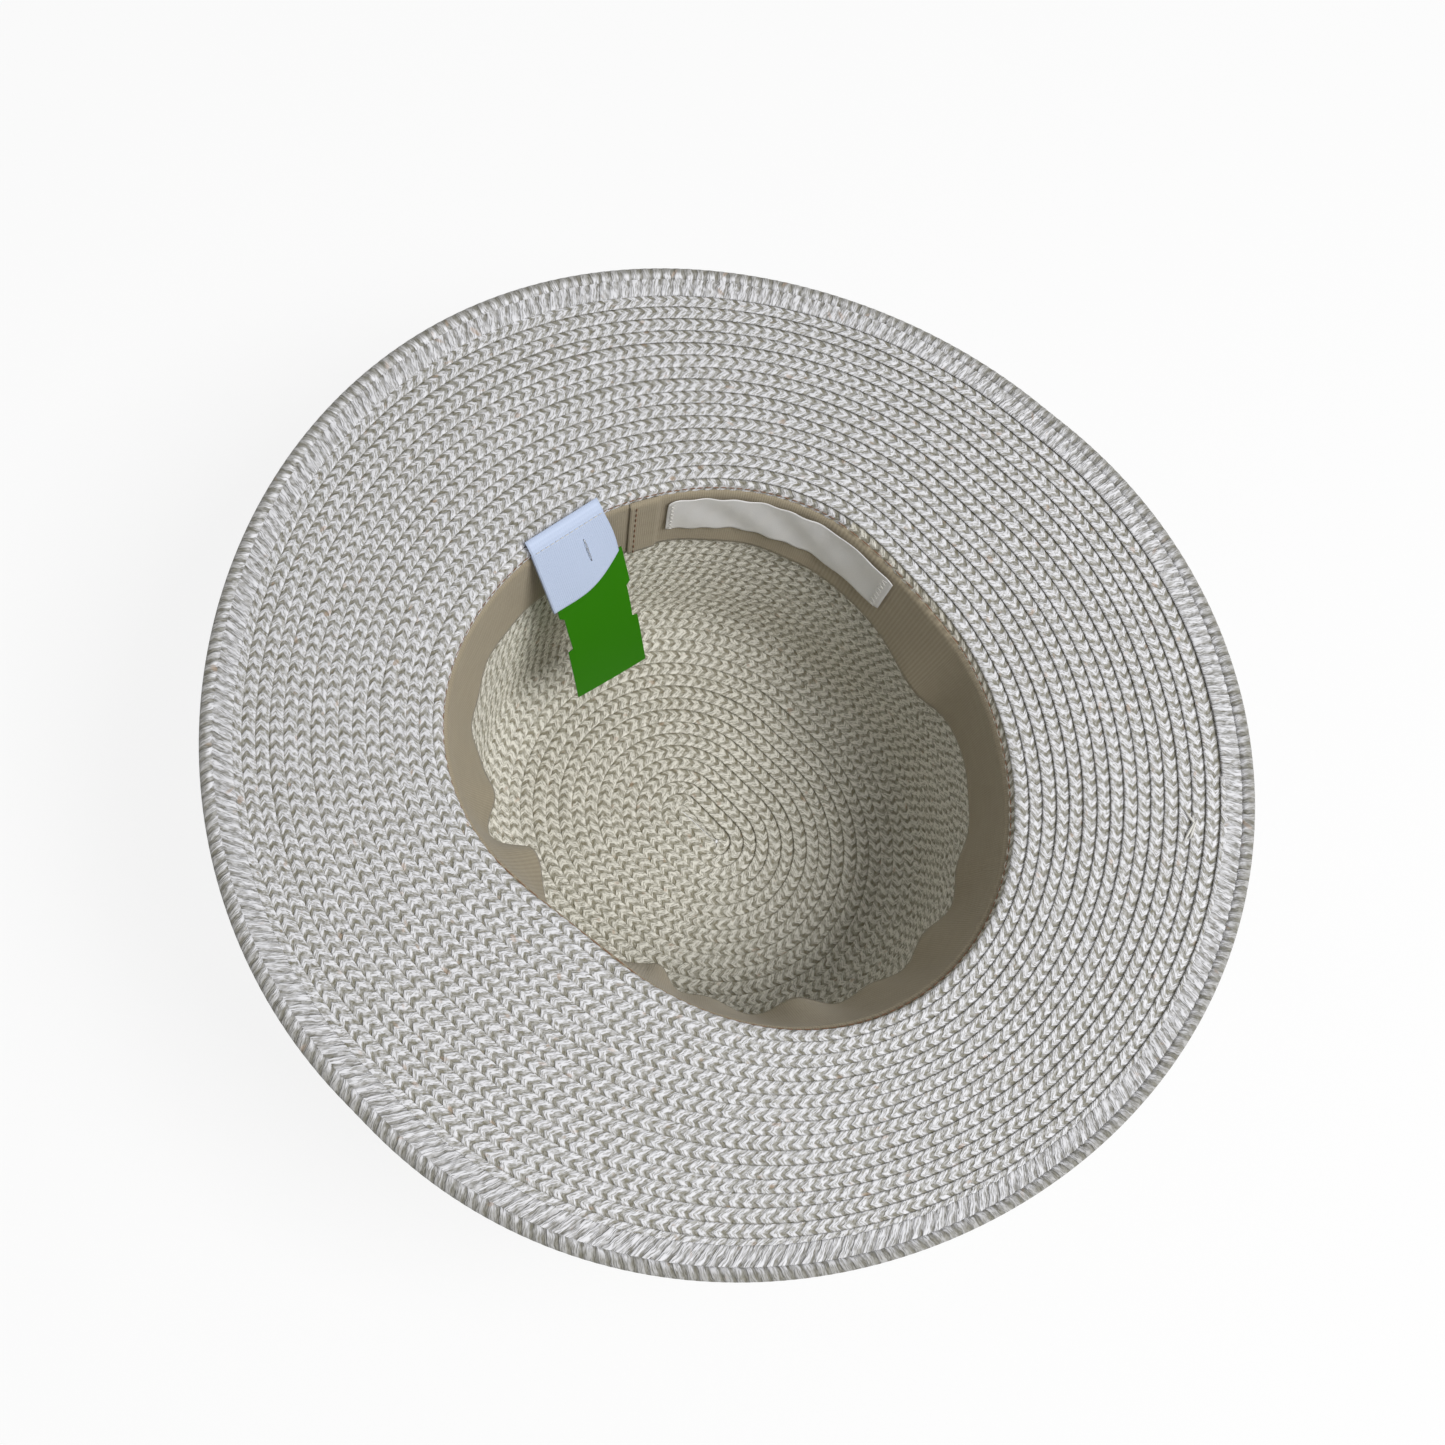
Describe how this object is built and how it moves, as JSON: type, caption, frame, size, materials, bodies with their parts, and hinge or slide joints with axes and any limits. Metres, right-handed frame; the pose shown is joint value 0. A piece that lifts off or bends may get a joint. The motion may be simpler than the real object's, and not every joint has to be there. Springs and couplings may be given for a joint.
{
  "type": "straw sun hat",
  "caption": "Wide-brimmed hat of spirally sewn straw braid with a cloth sweatband, blank sewn labels and a hanging swing tag, lying on its crown.",
  "frame": {"origin": "centre of the flat outer face of the crown tip, which the hat lies on", "axes": "+Z out of the head opening, +Y towards the wearer's back along the oval's longer axis, +X to one side"},
  "size_m": [0.3346, 0.3584, 0.1191],
  "materials": {
    "braid": "off-white paper-straw braid, matt",
    "hem_braid": "the same braid, wider and folded over the edge",
    "band_cloth": "khaki ribbed cotton tape, matt",
    "satin": "silver-grey satin ribbon, soft sheen",
    "ribbon": "white woven ribbon, slight sheen",
    "green_card": "glossy green card",
    "clear_plastic": "milky clear nylon",
    "thread": "reddish-brown thread",
    "light_thread": "white thread"
  },
  "bodies": {
    "hat": {"crown_tip_braid": "braid", "crown_side_braid": "braid", "brim_braid": "braid", "brim_splice": "braid", "brim_hem_band": "hem_braid", "brim_edge_roll": "hem_braid", "sweatband": "band_cloth", "sweatband_lap_stitches": "thread", "head_seam_thread": "thread", "satin_label": "satin", "satin_label_stitches": "light_thread", "loop_label_tab": "ribbon"},
    "label": {"loop_label": "ribbon", "loop_label_stitches": "light_thread"},
    "tag": {"swing_tag": "green_card", "tag_fastener": "clear_plastic"}
  },
  "joints": [
    {"name": "label_flap", "type": "hinge", "parent": "hat", "child": "label", "pos_m": [0.01408, 0.09187, 0.1052], "axis": [-0.9848, 0.1736, 0], "range_deg": [0, 180]},
    {"name": "tag_swing", "type": "hinge", "parent": "label", "child": "tag", "pos_m": [0.01762, 0.08601, 0.09663], "axis": [-0.1488, -0.8441, 0.515], "range_deg": [-30, 30]}
  ]
}
